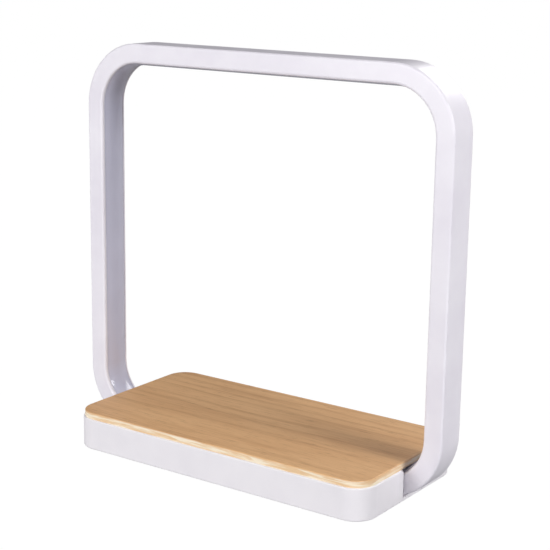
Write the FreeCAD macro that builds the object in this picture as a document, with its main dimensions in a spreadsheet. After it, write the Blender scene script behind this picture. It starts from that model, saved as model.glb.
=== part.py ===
import FreeCAD, Part
import math
import os

import Sketcher
from FreeCAD import Placement, Rotation, Vector

# A bedside lamp with a wireless charging base. A bent U-channel loop carries an LED strip behind a
# milky diffuser. Its two ends dip into the ends of a low white base with a wooden charging plate.
#
# The part stands on Z = 0. X runs along the base, Y from front (-) to rear (+), and the origin is
# below the middle of the base. All lengths are in millimetres.

DIMENSIONS = {
    # the loop: outer size, and the bent channel's section
    "loop_width": 230.0,
    "loop_depth": 19.0,
    "loop_bottom": 2.1,
    "loop_top": 221.1,
    "loop_section": 10.6,
    "loop_wall": 1.8,
    "loop_low_radius": 34.0,
    "loop_high_radius": 35.0,
    "loop_outer_round": 1.2,
    "loop_lip_round": 1.4,
    "channel_end": 52.0,
    "strip_end": 75.5,
    "strip_width": 10.0,
    "strip_thickness": 0.3,
    "led_length": 3.5,
    "led_width": 2.8,
    "led_height": 0.8,
    "led_pitch": 12.0,
    "diffuser_inset": 0.2,
    "diffuser_thickness": 1.8,
    "diffuser_crown": 1.7,
    "diffuser_end": 91.9,
    "end_cap_thickness": 2.5,
    # the base shell
    "base_length": 188.0,
    "base_depth": 95.0,
    "base_radius": 12.5,
    "rim_height": 1.2,
    "shell_top": 18.5,
    "shell_wall": 2.4,
    "deck_thickness": 2.0,
    "shell_rim_round": 0.8,
    "slot_clearance": 0.25,
    "slot_bottom": 3.5,
    "slot_edge_round": 0.3,
    "flare_width": 3.4,
    "flare_rise": 0.7,
    "flare_end_gap": 1.1,
    "lintel_bottom": 15.5,
    "lintel_depth": 2.4,
    "rib_thickness": 1.6,
    "rib_end_gap": 3.0,
    "front_rib_inset": 10.0,
    # the wooden plate and the adhesive under it
    "plate_thickness": 3.6,
    "plate_inset": 0.8,
    "plate_round": 0.8,
    "adhesive_thickness": 0.3,
    "adhesive_inset": 8.0,
    # the bottom cover and its rubber foot ring
    "cover_bottom": 0.6,
    "cover_thickness": 1.4,
    "cover_clearance": 0.15,
    "cover_boss_height": 0.8,
    "cover_boss_radius": 4.2,
    "foot_thickness": 0.9,
    "foot_groove": 0.3,
    "foot_inset": 2.0,
    "foot_width": 5.0,
    "foot_round": 0.3,
    "vent_width": 1.8,
    "vent_length": 14.0,
    "vent_pitch": 8.0,
    # screws, in sets that share their sizes
    "cover_screw_x": 79.5,
    "cover_screw_y": 33.0,
    "cover_screw_recess": 2.9,
    "cover_screw_play": 0.1,
    "shell_boss_radius": 3.5,
    "large_head_radius": 2.6,
    "large_head_height": 1.2,
    "large_shank_radius": 1.25,
    "large_hole_radius": 1.5,
    "large_pilot_depth": 9.0,
    "cover_screw_grip": 7.0,
    "loop_screw_near": 58.0,
    "loop_screw_far": 70.0,
    "loop_post_radius": 3.25,
    "loop_head_recess": 2.8,
    "loop_head_height": 1.0,
    "small_head_radius": 2.0,
    "small_head_height": 1.0,
    "small_shank_radius": 0.9,
    "small_hole_radius": 1.1,
    "board_pilot_depth": 5.0,
    "board_screw_grip": 4.5,
    "carrier_pilot_depth": 3.0,
    "carrier_screw_grip": 2.7,
    "drive_width": 0.5,
    "drive_length": 2.6,
    "drive_depth": 0.5,
    # the charging coil stack under the deck
    "coil_outer_radius": 24.0,
    "coil_inner_radius": 10.0,
    "coil_thickness": 1.2,
    "ferrite_radius": 25.5,
    "ferrite_thickness": 1.0,
    "carrier_width": 60.0,
    "carrier_radius": 6.0,
    "carrier_thickness": 1.4,
    "carrier_rim_inner": 25.7,
    "carrier_rim_outer": 27.0,
    "carrier_screw": 26.5,
    "carrier_boss_radius": 2.6,
    "carrier_lead_gap": 8.0,
    # the circuit board and what is soldered to it
    "board_length": 76.0,
    "board_front": 10.0,
    "board_rear": 44.0,
    "board_radius": 1.5,
    "board_bottom": 6.0,
    "board_thickness": 1.6,
    "board_screw_x": 34.5,
    "board_screw_front": 14.0,
    "board_screw_rear": 40.6,
    "board_post_radius": 3.0,
    "socket_width": 8.94,
    "socket_height": 3.26,
    "socket_length": 7.35,
    "socket_skin": 0.3,
    "socket_flat": 0.2,
    "socket_recess": 0.4,
    "socket_hole_margin": 0.3,
    "tongue_width": 6.7,
    "tongue_height": 0.7,
    "tongue_length": 5.0,
    "charger_chip_width": 5.0,
    "charger_chip_height": 0.9,
    "charger_chip_x": -16.0,
    "driver_chip_width": 5.0,
    "driver_chip_length": 6.0,
    "driver_chip_height": 1.6,
    "driver_chip_x": 10.0,
    "chip_y": 18.0,
    "inductor_width": 7.0,
    "inductor_height": 3.0,
    "inductor_x": -20.0,
    "inductor_pitch": 10.0,
    "inductor_y": 30.0,
    "capacitor_length": 3.2,
    "capacitor_width": 2.5,
    "capacitor_height": 1.8,
    "capacitor_x": -8.0,
    "capacitor_pitch": 4.0,
    "capacitor_y": 23.0,
    "bulk_radius": 3.15,
    "bulk_height": 4.6,
    "bulk_x": 16.0,
    "bulk_y": 34.0,
    # steel weights on the bottom cover
    "ballast_thickness": 3.0,
    "front_ballast_length": 140.0,
    "front_ballast_front": -42.0,
    "front_ballast_rear": -14.0,
    "rear_ballast_near": 42.0,
    "rear_ballast_far": 74.0,
    "rear_ballast_front": 14.0,
    "rear_ballast_rear": 42.0,
    # the touch switch behind the front of the deck, and the leads
    "electrode_length": 26.0,
    "electrode_front": -42.0,
    "electrode_rear": -34.0,
    "electrode_thickness": 0.2,
    "lead_radius": 0.6,
    "lead_spacing": 1.6,
    "coil_lead_spacing": 3.0,
    "coil_lead_reach": 9.0,
    "strip_lead_y": 4.4,
    "strip_lead_rise": 6.0,
    "strip_lead_fall": 9.0,
    "strip_lead_bend_y": 16.0,
    "strip_pad_x": 33.0,
    "strip_pad_y": 24.0,
    "touch_lead_start": 8.0,
    "touch_lead_x": 20.0,
    "touch_lead_drop": 6.0,
    "touch_lead_floor_y": -20.0,
    "touch_pad_y": 14.0,
}

document = FreeCAD.newDocument("ChargingLamp")
sheet = document.addObject("Spreadsheet::Sheet", "Dims")
for row, (alias, length) in enumerate(DIMENSIONS.items(), start=1):
    sheet.set(f"A{row}", alias)
    sheet.set(f"B{row}", str(length))
    sheet.setAlias(f"B{row}", alias)
document.recompute()


class Size:
    """A length kept both as a number and as the sheet expression that drives it."""

    def __init__(self, value, text=None):
        self.value = float(value)
        self.text = str(float(value)) if text is None else text

    def join(self, sign, other, value):
        return Size(value, f"({self.text} {sign} {other.text})")

    def __add__(self, other):
        other = as_size(other)
        return self.join("+", other, self.value + other.value)

    def __sub__(self, other):
        other = as_size(other)
        return self.join("-", other, self.value - other.value)

    def __mul__(self, other):
        other = as_size(other)
        return self.join("*", other, self.value * other.value)

    def __truediv__(self, other):
        other = as_size(other)
        return self.join("/", other, self.value / other.value)

    def __neg__(self):
        return Size(-self.value, f"(0 - {self.text})")


def as_size(length):
    return length if isinstance(length, Size) else Size(length)


def dim(alias):
    return Size(sheet.get(alias), f"Dims.{alias}")


ZERO = Size(0)

# Places worked out from the driving dimensions.
half_loop = dim("loop_width") / 2
half_length = dim("base_length") / 2
half_depth = dim("base_depth") / 2
channel_floor_top = dim("loop_bottom") + dim("loop_wall")
channel_half_gap = dim("loop_depth") / 2 - dim("loop_wall")
deck_underside = dim("shell_top") - dim("deck_thickness")
cavity_half_length = half_length - dim("shell_wall")
cover_top = dim("cover_bottom") + dim("cover_thickness")
cover_boss_top = cover_top + dim("cover_boss_height")
plate_top = dim("shell_top") + dim("plate_thickness")
coil_bottom = deck_underside - dim("coil_thickness")
carrier_top = coil_bottom - dim("ferrite_thickness")
carrier_bottom = carrier_top - dim("carrier_thickness")
board_top = dim("board_bottom") + dim("board_thickness")
ballast_top = cover_top + dim("ballast_thickness")
socket_middle = board_top + dim("socket_height") / 2
strip_top = dim("loop_wall") + dim("strip_thickness")

CORNERS = [(i, j) for i in (-1, 1) for j in (-1, 1)]
COVER_SCREWS = [(dim("cover_screw_x") * i, dim("cover_screw_y") * j) for i, j in CORNERS]
CARRIER_SCREWS = [(dim("carrier_screw") * i, dim("carrier_screw") * j) for i, j in CORNERS]
LOOP_SCREWS = [(dim(f"loop_screw_{place}") * i, ZERO) for i in (-1, 1) for place in ("near", "far")]
BOARD_SCREW_ROWS = [dim(f"board_screw_{row}") for row in ("front", "rear")]
BOARD_SCREWS = [(dim("board_screw_x") * i, y) for i in (-1, 1) for y in BOARD_SCREW_ROWS]

sub_parts = []


def keep(piece):
    """List a finished sub-part for export under its own label."""
    sub_parts.append(piece)
    return piece


# ---- Sketches and features of the moulded and bent pieces ----


def new_body(name):
    body = document.addObject("PartDesign::Body", name)
    body.AllowCompound = True
    return body


def new_sketch(body, name, plane="XY_Plane", offset=None):
    """Add a sketch on one of the body's own origin planes, raised along its normal by offset."""
    support = [feature for feature in body.Origin.OriginFeatures if feature.Role == plane][0]
    sketch = body.newObject("Sketcher::SketchObject", f"{body.Name}_{name}_sketch")
    sketch.AttachmentSupport = (support, [""])
    sketch.MapMode = "FlatFace"
    if offset is not None:
        sketch.setExpression("AttachmentOffset.Base.z", offset.text)
    return sketch


def constrain(sketch, constraint, size):
    """Add a constraint whose value follows the sheet."""
    index = sketch.addConstraint(constraint)
    name = f"size_{index}"
    sketch.renameConstraint(index, name)
    sketch.setExpression(f"Constraints.{name}", size.text)


def hold(sketch, geometry, point, x=None, y=None):
    """Fix a point of a sketch element at x and y from the sketch's origin."""
    for kind, size, axis in (("DistanceX", x, -2), ("DistanceY", y, -1)):
        if size is None:
            continue
        if size.value == 0:
            sketch.addConstraint(Sketcher.Constraint("PointOnObject", geometry, point, axis))
        else:
            constrain(sketch, Sketcher.Constraint(kind, -1, 1, geometry, point, size.value), size)


def add_circle(sketch, x, y, radius):
    circle = Part.Circle(Vector(x.value, y.value, 0), Vector(0, 0, 1), radius.value)
    index = sketch.addGeometry(circle, False)
    constrain(sketch, Sketcher.Constraint("Radius", index, radius.value), radius)
    hold(sketch, index, 3, x, y)


def add_rectangle(sketch, x_low, x_high, y_low, y_high):
    corners = [
        Vector(x_low.value, y_low.value, 0),
        Vector(x_high.value, y_low.value, 0),
        Vector(x_high.value, y_high.value, 0),
        Vector(x_low.value, y_high.value, 0),
    ]
    lines = []
    for start, end in zip(corners, corners[1:] + corners[:1]):
        lines.append(sketch.addGeometry(Part.LineSegment(start, end), False))
    for first, second in zip(lines, lines[1:] + lines[:1]):
        sketch.addConstraint(Sketcher.Constraint("Coincident", first, 2, second, 1))
    for line, direction in zip(lines, ("Horizontal", "Vertical", "Horizontal", "Vertical")):
        sketch.addConstraint(Sketcher.Constraint(direction, line))
    hold(sketch, lines[0], 1, x_low, y_low)
    hold(sketch, lines[2], 1, x_high, y_high)


def add_rounded_rectangle(sketch, x_low, x_high, y_low, y_high, low_radius, high_radius=None):
    """Add a rectangle with rounded corners: low_radius at its lower edge, high_radius at its upper."""
    high_radius = low_radius if high_radius is None else high_radius
    left, right, low, high = x_low.value, x_high.value, y_low.value, y_high.value
    small, large = low_radius.value, high_radius.value
    runs = [
        (Vector(left + small, low, 0), Vector(right - small, low, 0)),
        (Vector(right, low + small, 0), Vector(right, high - large, 0)),
        (Vector(right - large, high, 0), Vector(left + large, high, 0)),
        (Vector(left, high - large, 0), Vector(left, low + small, 0)),
    ]
    turns = [
        (Vector(right - small, low + small, 0), small, -90, low_radius),
        (Vector(right - large, high - large, 0), large, 0, high_radius),
        (Vector(left + large, high - large, 0), large, 90, high_radius),
        (Vector(left + small, low + small, 0), small, 180, low_radius),
    ]
    loop = []
    for (start, end), (centre, radius, angle, size) in zip(runs, turns):
        loop.append(sketch.addGeometry(Part.LineSegment(start, end), False))
        circle = Part.Circle(centre, Vector(0, 0, 1), radius)
        arc = Part.ArcOfCircle(circle, math.radians(angle), math.radians(angle + 90))
        loop.append(sketch.addGeometry(arc, False))
        constrain(sketch, Sketcher.Constraint("Radius", loop[-1], radius), size)
    for first, second in zip(loop, loop[1:] + loop[:1]):
        sketch.addConstraint(Sketcher.Constraint("Tangent", first, 2, second, 1))
    for line, direction in zip(loop[::2], ("Horizontal", "Vertical", "Horizontal", "Vertical")):
        sketch.addConstraint(Sketcher.Constraint(direction, line))
    hold(sketch, loop[0], 1, y=y_low)
    hold(sketch, loop[2], 1, x=x_high)
    hold(sketch, loop[4], 1, y=y_high)
    hold(sketch, loop[6], 1, x=x_low)


def add_block_outline(sketch, inset=ZERO):
    """Add the base's plan outline, drawn in by inset."""
    x = half_length - inset
    y = half_depth - inset
    add_rounded_rectangle(sketch, -x, x, -y, y, dim("base_radius") - inset)


def add_loop_outline(sketch, inset=ZERO):
    """Add the loop's front outline, drawn in by inset, on a sketch in the XZ plane."""
    x = half_loop - inset
    low = dim("loop_bottom") + inset
    high = dim("loop_top") - inset
    radii = dim("loop_low_radius") - inset, dim("loop_high_radius") - inset
    add_rounded_rectangle(sketch, -x, x, low, high, *radii)


def add_material(sketch, length, midplane=False):
    """Pad a sketch of a body along its normal, or both ways from its plane."""
    body = sketch.getParentGeoFeatureGroup()
    feature = body.newObject("PartDesign::Pad", sketch.Name.replace("sketch", "pad"))
    feature.Profile = sketch
    feature.Midplane = midplane
    feature.setExpression("Length", length.text)
    document.recompute()
    return feature


def remove_material(sketch, length, midplane=False, upward=False):
    """Pocket a sketch of a body, and stop if it cuts nothing."""
    body = sketch.getParentGeoFeatureGroup()
    before = body.Shape.Volume
    feature = body.newObject("PartDesign::Pocket", sketch.Name.replace("sketch", "pocket"))
    feature.Profile = sketch
    feature.Midplane = midplane
    feature.Reversed = upward
    feature.setExpression("Length", length.text)
    document.recompute()
    if body.Shape.Volume > before - 1e-6:
        raise RuntimeError(f"{feature.Name} cuts nothing")
    return feature


def round_edges(body, name, radius, wanted):
    """Fillet the edges of a body that the test accepts."""
    edges = [f"Edge{n}" for n, edge in enumerate(body.Shape.Edges, start=1) if wanted(edge)]
    base = body.Tip
    feature = body.newObject("PartDesign::Fillet", f"{body.Name}_{name}")
    feature.Base = (base, edges)
    feature.setExpression("Radius", radius.text)
    document.recompute()
    if not edges or not body.Shape.isValid():
        raise RuntimeError(f"{feature.Name} has {len(edges)} edges and does not hold")
    return feature


def lies_at(edge, axis, level):
    """Say whether a whole edge lies in the plane where the axis (0, 1 or 2) has this level."""
    box = edge.BoundBox
    low = (box.XMin, box.YMin, box.ZMin)[axis]
    high = (box.XMax, box.YMax, box.ZMax)[axis]
    return abs(low - level) < 1e-4 and abs(high - level) < 1e-4


# ---- Simple solids and what is built from them ----


def place(piece, x, y, z):
    for axis, size in zip("xyz", (x, y, z)):
        piece.setExpression(f"Placement.Base.{axis}", as_size(size).text)


def make_box(name, lengths, corner):
    box = document.addObject("Part::Box", name)
    for side, size in zip(("Length", "Width", "Height"), lengths):
        box.setExpression(side, as_size(size).text)
    place(box, *corner)
    return box


def make_centred_box(name, lengths, middle_x, middle_y, bottom):
    """Make a box from its size, the middle of its plan and its lowest level."""
    length, width, height = (as_size(size) for size in lengths)
    corner = as_size(middle_x) - length / 2, as_size(middle_y) - width / 2, bottom
    return make_box(name, (length, width, height), corner)


def make_cylinder(name, radius, height, base):
    cylinder = document.addObject("Part::Cylinder", name)
    cylinder.setExpression("Radius", as_size(radius).text)
    cylinder.setExpression("Height", as_size(height).text)
    place(cylinder, *base)
    return cylinder


def make_fuse(name, pieces):
    fuse = document.addObject("Part::MultiFuse", name)
    fuse.Shapes = pieces
    return fuse


def make_cut(name, base, tool):
    cut = document.addObject("Part::Cut", name)
    cut.Base = base
    cut.Tool = tool
    return cut


def make_group(name, pieces):
    """Gather separate solids into one sub-part."""
    group = document.addObject("Part::Compound", name)
    group.Links = pieces
    return group


def make_screws(name, places, head_bottom, head_size, shank_radius, shank_end):
    """Make upright cross-head screws, their heads down, as one sub-part of separate solids."""
    head_radius, head_height = head_size
    screws = []
    for number, (x, y) in enumerate(places, start=1):
        label = f"{name}_{number}"
        shank_bottom = head_bottom + head_height
        head = make_cylinder(f"{label}_head", head_radius, head_height, (x, y, head_bottom))
        shank_base = x, y, shank_bottom
        shank = make_cylinder(f"{label}_shank", shank_radius, shank_end - shank_bottom, shank_base)
        blank = make_fuse(f"{label}_blank", [head, shank])
        drive = dim("drive_length"), dim("drive_width"), dim("drive_depth")
        across = make_centred_box(f"{label}_across", drive, x, y, head_bottom)
        along = make_centred_box(f"{label}_along", (drive[1], drive[0], drive[2]), x, y, head_bottom)
        cross = make_fuse(f"{label}_cross", [across, along])
        screws.append(make_cut(label, blank, cross))
    return keep(make_group(name, screws))


def make_lead(route, radius):
    """Sweep a round lead along straight runs joined by arcs as large as the runs allow."""
    points = [Vector(*point) for point in route]
    edges = []
    start = points[0]
    for before, corner, after in zip(points, points[1:], points[2:]):
        inward = (before - corner).normalize()
        outward = (after - corner).normalize()
        reach = 0.45 * min(before.distanceToPoint(corner), after.distanceToPoint(corner))
        bisector = (inward + outward).normalize()
        half_turn = (math.pi - inward.getAngle(outward)) / 2
        bend = reach / math.tan(half_turn)
        middle = corner + bisector * (bend / math.cos(half_turn) - bend)
        first = corner + inward * reach
        last = corner + outward * reach
        edges.append(Part.LineSegment(start, first).toShape())
        edges.append(Part.Arc(first, middle, last).toShape())
        start = last
    edges.append(Part.LineSegment(start, points[-1]).toShape())
    spine = Part.Wire(edges)
    section = Part.Wire(Part.makeCircle(radius, points[0], points[1] - points[0]))
    lead = spine.makePipeShell([section], True, True)
    expected = math.pi * radius * radius * spine.Length
    if abs(lead.Volume - expected) > 0.02 * expected:
        raise RuntimeError("a lead's volume is not its section times its length")
    return lead


def keep_shape(name, shape):
    """List a shape made with Part's own functions as a sub-part."""
    piece = document.addObject("Part::Feature", name)
    piece.Shape = shape
    piece.Placement = Placement(Vector(0, 0, 0), Rotation())
    return keep(piece)


# ---- The loop ----


def add_bottom_gap(sketch, half_gap):
    """Add a rectangle that parts a loop-shaped strip at the middle of its lower run."""
    low = dim("loop_bottom") - 1
    high = dim("loop_bottom") + dim("loop_section") + 1
    add_rectangle(sketch, -half_gap, half_gap, low, high)


def make_loop_strip(name, outer_inset, inner_inset, width, half_gap):
    """Make a strip that follows the loop between two insets and stops short of its middle."""
    body = new_body(name)
    outline = new_sketch(body, "outline", "XZ_Plane")
    add_loop_outline(outline, outer_inset)
    add_loop_outline(outline, inner_inset)
    add_material(outline, width, midplane=True)
    gap = new_sketch(body, "gap", "XZ_Plane")
    add_bottom_gap(gap, half_gap)
    remove_material(gap, width + 2, midplane=True)
    return body


def make_loop_frame():
    """The bent aluminium channel: open towards the middle of the loop, screwed to the shell's posts."""
    body = make_loop_strip("loop_frame", ZERO, dim("loop_section"), dim("loop_depth"), dim("channel_end"))
    channel = new_sketch(body, "channel", "XZ_Plane")
    add_loop_outline(channel, dim("loop_wall"))
    remove_material(channel, channel_half_gap * 2, midplane=True)
    holes = new_sketch(body, "screw_holes", offset=dim("loop_bottom"))
    recesses = new_sketch(body, "head_recesses", offset=dim("loop_bottom"))
    for x, y in LOOP_SCREWS:
        add_circle(holes, x, y, dim("large_hole_radius"))
        add_circle(recesses, x, y, dim("loop_head_recess"))
    remove_material(holes, dim("loop_wall"), upward=True)
    remove_material(recesses, dim("loop_head_height"), upward=True)
    face = dim("loop_depth").value / 2
    section = dim("loop_section").value
    end = dim("channel_end").value

    def on_side_face(edge):
        return lies_at(edge, 1, face) or lies_at(edge, 1, -face)

    def is_outer(edge):
        box = edge.BoundBox
        spans_outside = box.XMax > half_loop.value - 1e-3 or box.XMin < -half_loop.value + 1e-3
        level = lies_at(edge, 2, dim("loop_top").value) or lies_at(edge, 2, dim("loop_bottom").value)
        return on_side_face(edge) and (spans_outside or level)

    def is_lip(edge):
        box = edge.BoundBox
        reach = half_loop.value - section
        spans_inside = abs(box.XMax - reach) < 1e-3 or abs(box.XMin + reach) < 1e-3
        high = lies_at(edge, 2, dim("loop_top").value - section)
        low = lies_at(edge, 2, dim("loop_bottom").value + section)
        return on_side_face(edge) and (spans_inside or high or low) and box.XLength + box.ZLength > end / 50

    round_edges(body, "outer_round", dim("loop_outer_round"), is_outer)
    round_edges(body, "lip_round", dim("loop_lip_round"), is_lip)
    return keep(body)


def add_crowned_section(sketch, half_width, low, high, crown):
    """Add a strip's cross-section: straight sides, a flat underside and a crowned top."""
    x, bottom, side = half_width.value, low.value, high.value
    top = (high + crown).value
    corners = [Vector(-x, side, 0), Vector(-x, bottom, 0), Vector(x, bottom, 0), Vector(x, side, 0)]
    lines = []
    for start, end in zip(corners, corners[1:]):
        lines.append(sketch.addGeometry(Part.LineSegment(start, end), False))
    arc = sketch.addGeometry(Part.Arc(corners[3], Vector(0, top, 0), corners[0]), False)
    for first, second in zip(lines, lines[1:]):
        sketch.addConstraint(Sketcher.Constraint("Coincident", first, 2, second, 1))
    for line, direction in zip(lines, ("Vertical", "Horizontal", "Vertical")):
        sketch.addConstraint(Sketcher.Constraint(direction, line))
    sketch.addConstraint(Sketcher.Constraint("Coincident", lines[2], 2, arc, 1))
    sketch.addConstraint(Sketcher.Constraint("Coincident", lines[0], 1, arc, 2))
    hold(sketch, lines[0], 1, -half_width, high)
    hold(sketch, lines[1], 1, y=low)
    hold(sketch, lines[2], 2, half_width, high)
    # The arc through three points has this radius.
    radius = (half_width * half_width + crown * crown) / (crown * 2)
    constrain(sketch, Sketcher.Constraint("Radius", arc, radius.value), radius)


def make_loop_diffuser():
    """The milky crowned strip in the channel's open side. It stops where the loop enters the base."""
    high = dim("loop_section") - dim("diffuser_inset")
    low = high - dim("diffuser_thickness")
    body = new_body("loop_diffuser")
    path = new_sketch(body, "path", "XZ_Plane")
    add_loop_outline(path, low)
    section = new_sketch(body, "section", "YZ_Plane")
    bottom = dim("loop_bottom")
    add_crowned_section(section, channel_half_gap, bottom + low, bottom + high, dim("diffuser_crown"))
    document.recompute()
    sweep = body.newObject("PartDesign::AdditivePipe", "loop_diffuser_sweep")
    sweep.Profile = section
    sweep.Spine = (path, [f"Edge{n}" for n in range(1, len(path.Shape.Edges) + 1)])
    document.recompute()
    gap = new_sketch(body, "gap", "XZ_Plane")
    end = dim("diffuser_end")
    add_rectangle(gap, -end, end, bottom - 1, dim("loop_low_radius"))
    remove_material(gap, channel_half_gap * 2 + 2, midplane=True)
    return keep(body)


def make_led_strip():
    """The flexible circuit on the channel's floor."""
    return keep(
        make_loop_strip("led_strip", dim("loop_wall"), strip_top, dim("strip_width"), dim("strip_end"))
    )


def loop_path(inset):
    """The runs and turns of the loop at an inset, anticlockwise from the right-hand strip end."""
    x = half_loop.value - inset
    low = dim("loop_bottom").value + inset
    high = dim("loop_top").value - inset
    small = dim("loop_low_radius").value - inset
    large = dim("loop_high_radius").value - inset
    return [
        ("run", (dim("strip_end").value, low), 0, x - small - dim("strip_end").value),
        ("turn", (x - small, low + small), -90, small),
        ("run", (x, low + small), 90, high - large - low - small),
        ("turn", (x - large, high - large), 0, large),
        ("run", (x - large, high), 180, 2 * (x - large)),
        ("turn", (large - x, high - large), 90, large),
        ("run", (-x, high - large), 270, high - large - low - small),
        ("turn", (small - x, low + small), 180, small),
        ("run", (small - x, low), 0, x - small - dim("strip_end").value),
    ]


def point_on_loop(path, distance):
    """The place and heading, in degrees, at a distance along a loop path."""
    for kind, start, angle, size in path:
        length = size if kind == "run" else size * math.pi / 2
        if distance <= length:
            break
        distance -= length
    if kind == "run":
        heading = math.radians(angle)
        place_x = start[0] + distance * math.cos(heading)
        place_z = start[1] + distance * math.sin(heading)
        return place_x, place_z, angle
    swept = angle + math.degrees(distance / size)
    place_x = start[0] + size * math.cos(math.radians(swept))
    place_z = start[1] + size * math.sin(math.radians(swept))
    return place_x, place_z, swept + 90


def make_led_chips():
    """The light-emitting diodes, evenly spaced along the strip."""
    path = loop_path(strip_top.value)
    total = sum(size if kind == "run" else size * math.pi / 2 for kind, _, _, size in path)
    count = int(total // dim("led_pitch").value)
    margin = (total - (count - 1) * dim("led_pitch").value) / 2
    length, width, height = (dim(side).value for side in ("led_length", "led_width", "led_height"))
    # A chip on a turn sits this much further in, so that its corners clear the curved strip.
    seat = length * length / 8 / (dim("loop_low_radius").value - strip_top.value)
    chips = []
    for number in range(count):
        x, z, heading = point_on_loop(path, margin + number * dim("led_pitch").value)
        chip = Part.makeBox(length, width, height, Vector(-length / 2, -width / 2, seat))
        chip.rotate(Vector(0, 0, 0), Vector(0, -1, 0), heading)
        chip.translate(Vector(x, 0, z))
        chips.append(chip)
    return keep_shape("led_chips", Part.makeCompound(chips))


def make_channel_end_caps():
    """The plugs in the channel's two ends. The right-hand one lets the strip's leads out."""
    height = dim("loop_section") - dim("loop_wall")
    size = dim("end_cap_thickness"), channel_half_gap * 2, height
    left_x = -dim("channel_end") - dim("end_cap_thickness")
    keep(make_box("channel_end_cap_left", size, (left_x, -channel_half_gap, channel_floor_top)))
    plug = make_box("right_cap_plug", size, (dim("channel_end"), -channel_half_gap, channel_floor_top))
    notch_size = dim("end_cap_thickness") + 2, dim("lead_radius") * 6, dim("lead_radius") * 4
    notch_corner = dim("channel_end") - 1, dim("lead_radius") * 5.5, channel_floor_top
    notch = make_box("right_cap_notch", notch_size, notch_corner)
    return keep(make_cut("channel_end_cap_right", plug, notch))


def make_loop_screws():
    """The low-head screws that hold the channel's floor to the shell's posts."""
    head = dim("large_head_radius"), dim("loop_head_height")
    shank = dim("large_shank_radius"), channel_floor_top + dim("large_pilot_depth")
    return make_screws("loop_screws", LOOP_SCREWS, dim("loop_bottom"), head, *shank)


# ---- The base ----


def add_posts(body, name, places, radius, bottom):
    """Grow round posts of the shell from its deck down to a level."""
    sketch = new_sketch(body, name, offset=bottom)
    for x, y in places:
        add_circle(sketch, x, y, radius)
    add_material(sketch, deck_underside - bottom)


def drill_posts(body, name, places, radius, bottom, depth):
    """Drill pilot holes up into the posts from their lower ends."""
    sketch = new_sketch(body, name, offset=bottom)
    for x, y in places:
        add_circle(sketch, x, y, radius)
    remove_material(sketch, depth, upward=True)


def add_ribs(body):
    """Grow the ribs that press the steel weights onto the cover."""
    sketch = new_sketch(body, "ribs", offset=ballast_top)
    half_rib = dim("rib_thickness") / 2
    rear_x = (dim("rear_ballast_near") + dim("rear_ballast_far")) / 2
    front_x = dim("front_ballast_length") / 2 - dim("front_rib_inset")
    gap = dim("rib_end_gap")
    for side in (-1, 1):
        for x, weight in ((front_x * side, "front_ballast"), (rear_x * side, "rear_ballast")):
            front = dim(f"{weight}_front") + gap
            rear = dim(f"{weight}_rear") - gap
            add_rectangle(sketch, x - half_rib, x + half_rib, front, rear)
    add_material(sketch, deck_underside - ballast_top)


def add_flares(body):
    """Flare the end walls a little towards the loop, in front of it and behind it."""
    bottom = dim("rim_height") + dim("flare_end_gap")
    sketch = new_sketch(body, "flares", offset=bottom)
    near = dim("loop_depth") / 2 + dim("slot_clearance")
    far = near + dim("flare_width")
    crest = half_length + dim("flare_rise")
    for i, j in CORNERS:
        corners = [(half_length * i, far * j), (crest * i, near * j), (half_length * i, near * j)]
        points = [Vector(x.value, y.value, 0) for x, y in corners]
        lines = []
        for start, end in zip(points, points[1:] + points[:1]):
            lines.append(sketch.addGeometry(Part.LineSegment(start, end), False))
        for first, second in zip(lines, lines[1:] + lines[:1]):
            sketch.addConstraint(Sketcher.Constraint("Coincident", first, 2, second, 1))
        for line, (x, y) in zip(lines, corners):
            hold(sketch, line, 1, x, y)
    add_material(sketch, dim("shell_top") - dim("flare_end_gap") - bottom)


def cut_slots(body):
    """Open the end walls for the loop, from just above the rim to the top."""
    half_slot = dim("loop_depth") / 2 + dim("slot_clearance")
    sketch = new_sketch(body, "slots", offset=dim("slot_bottom"))
    add_rectangle(sketch, cavity_half_length, half_length + 1, -half_slot, half_slot)
    add_rectangle(sketch, -half_length - 1, -cavity_half_length, -half_slot, half_slot)
    remove_material(sketch, dim("shell_top") - dim("slot_bottom") + 1, upward=True)
    crest = (half_length + dim("flare_rise")).value

    def is_slot_edge(edge):
        upright = edge.BoundBox.ZLength > 5 and edge.BoundBox.YLength < 1e-4
        at_slot = abs(abs(edge.BoundBox.YMin) - half_slot.value) < 1e-4
        outside = lies_at(edge, 0, crest) or lies_at(edge, 0, -crest)
        return upright and at_slot and outside

    round_edges(body, "slot_round", dim("slot_edge_round"), is_slot_edge)


def add_lintels(body):
    """Thicken the deck where it meets the slots, so that little shows between it and the loop."""
    sketch = new_sketch(body, "lintels", offset=dim("lintel_bottom"))
    half_width = dim("loop_depth") / 2 + dim("slot_clearance") + 1
    near = cavity_half_length - dim("lintel_depth")
    add_rectangle(sketch, near, cavity_half_length, -half_width, half_width)
    add_rectangle(sketch, -cavity_half_length, -near, -half_width, half_width)
    add_material(sketch, deck_underside - dim("lintel_bottom"))


def cut_socket_hole(body):
    """Open the rear wall for the power socket."""
    half_width = dim("socket_width") / 2 + dim("socket_hole_margin")
    half_height = dim("socket_height") / 2 + dim("socket_hole_margin")
    sketch = new_sketch(body, "socket_hole", "XZ_Plane", offset=-half_depth - 1)
    low, high = socket_middle - half_height, socket_middle + half_height
    corner_radius = half_height - dim("socket_flat")
    add_rounded_rectangle(sketch, -half_width, half_width, low, high, corner_radius)
    remove_material(sketch, dim("shell_wall") + 1.5, upward=True)


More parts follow.
